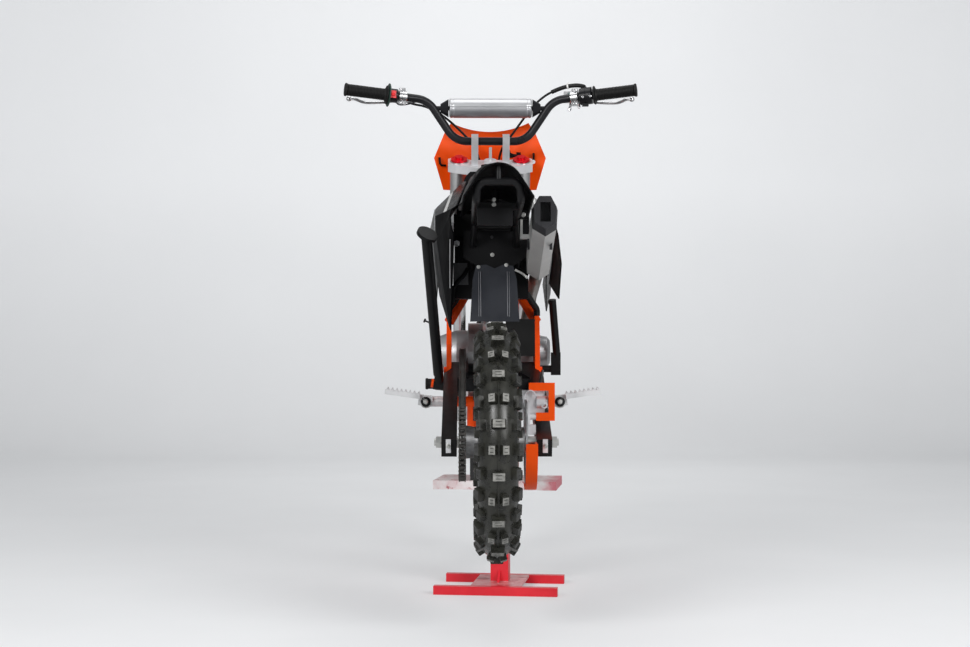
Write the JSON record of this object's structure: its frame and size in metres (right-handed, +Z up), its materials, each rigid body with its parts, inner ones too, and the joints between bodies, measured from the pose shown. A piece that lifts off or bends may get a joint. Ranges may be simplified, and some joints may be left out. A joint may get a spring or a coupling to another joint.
{
  "type": "dirt bike",
  "caption": "Small-wheel off-road motorcycle with knobbly tyres, high fenders and folded side stand, held off the floor by a red lift stand.",
  "frame": {"origin": "on the floor, midway along the bike's length and on its middle plane", "axes": "+Y forward, +X to the rider's right, +Z up"},
  "size_m": [0.8008, 1.8039, 1.3479],
  "materials": {
    "stand_red": "glossy paint",
    "stand_plate": "worn pale paint",
    "saddle_rubber": "matte",
    "frame_orange": "satin powder coat",
    "frame_black": "satin powder coat",
    "shock_steel": "satin",
    "zinc_steel": "zinc plated",
    "engine_alloy": "cast",
    "exhaust_steel": "heat stained",
    "silencer_alloy": "brushed",
    "black_plastic": "satin moulded",
    "gloss_black": "gloss with stripes",
    "seat_cover": "grained vinyl",
    "flap_rubber": "satin",
    "peg_steel": "cast",
    "clamp_alloy": "machined",
    "orange_plastic": "gloss moulded",
    "chain_steel": "oiled",
    "fork_alloy": "anodised",
    "red_anodised": "anodised",
    "slider_chrome": "polished",
    "bar_black": "satin",
    "pad_silver": "satin vinyl",
    "grip_rubber": "matte",
    "cable_black": "satin",
    "tyre": "matte with sheen on the knobs",
    "rim_alloy": "black anodised",
    "hub_alloy": "machined"
  },
  "bodies": {
    "chassis": {"lift_stand_base": "stand_red", "lift_stand_top": "stand_plate", "lift_stand_saddles": "saddle_rubber", "main_frame": "frame_orange", "subframe": "frame_black", "swingarm": "frame_black", "rear_shock": "shock_steel", "rear_axle": "zinc_steel", "crankcase": "engine_alloy", "left_engine_cover": "engine_alloy", "right_engine_cover": "engine_alloy", "cylinder": "engine_alloy", "carburettor": "engine_alloy", "exhaust_pipe": "exhaust_steel", "silencer": "silencer_alloy", "silencer_cap": "black_plastic", "fuel_tank": "black_plastic", "seat": "seat_cover", "shrouds": "gloss_black", "side_panels": "black_plastic", "rear_fender": "black_plastic", "mud_flap": "flap_rubber", "inner_fender": "black_plastic", "airbox": "black_plastic", "splash_guard": "cable_black", "kick_starter": "frame_black", "footpegs": "peg_steel", "gear_lever": "zinc_steel", "brake_pedal": "zinc_steel", "rear_caliper": "clamp_alloy", "brake_guards": "orange_plastic", "chain": "chain_steel"},
    "steering": {"top_clamp": "clamp_alloy", "lower_clamp": "clamp_alloy", "fork_tubes": "fork_alloy", "fork_caps": "red_anodised", "fork_sliders": "slider_chrome", "front_caliper": "clamp_alloy", "handlebar": "bar_black", "bar_pad": "pad_silver", "grips": "grip_rubber", "left_controls": "clamp_alloy", "right_controls": "clamp_alloy", "number_plate": "orange_plastic", "front_fender": "orange_plastic", "control_cables": "cable_black"},
    "front_wheel": {"front_tyre": "tyre", "front_rim": "rim_alloy", "front_hub": "hub_alloy"},
    "rear_wheel": {"rear_tyre": "tyre", "rear_rim": "rim_alloy", "rear_hub": "hub_alloy", "rear_sprocket": "zinc_steel"},
    "side_stand": {"side_stand": "frame_black"}
  },
  "joints": [
    {"name": "steering", "type": "hinge", "parent": "chassis", "child": "steering", "pos_m": [0, 0.26339, 1.04238], "axis": [0, -0.4462, 0.8949], "range_deg": [-38, 38]},
    {"name": "front_wheel_spin", "type": "hinge", "parent": "steering", "child": "front_wheel", "pos_m": [0, 0.616, 0.436], "axis": [1, 0, 0], "continuous": true},
    {"name": "rear_wheel_spin", "type": "hinge", "parent": "chassis", "child": "rear_wheel", "pos_m": [0, -0.634, 0.418], "axis": [1, 0, 0], "continuous": true},
    {"name": "side_stand_swing", "type": "hinge", "parent": "chassis", "child": "side_stand", "pos_m": [-0.134, -0.208, 0.535], "axis": [0.9885, 0, -0.1511], "range_deg": [0, 138]}
  ]
}
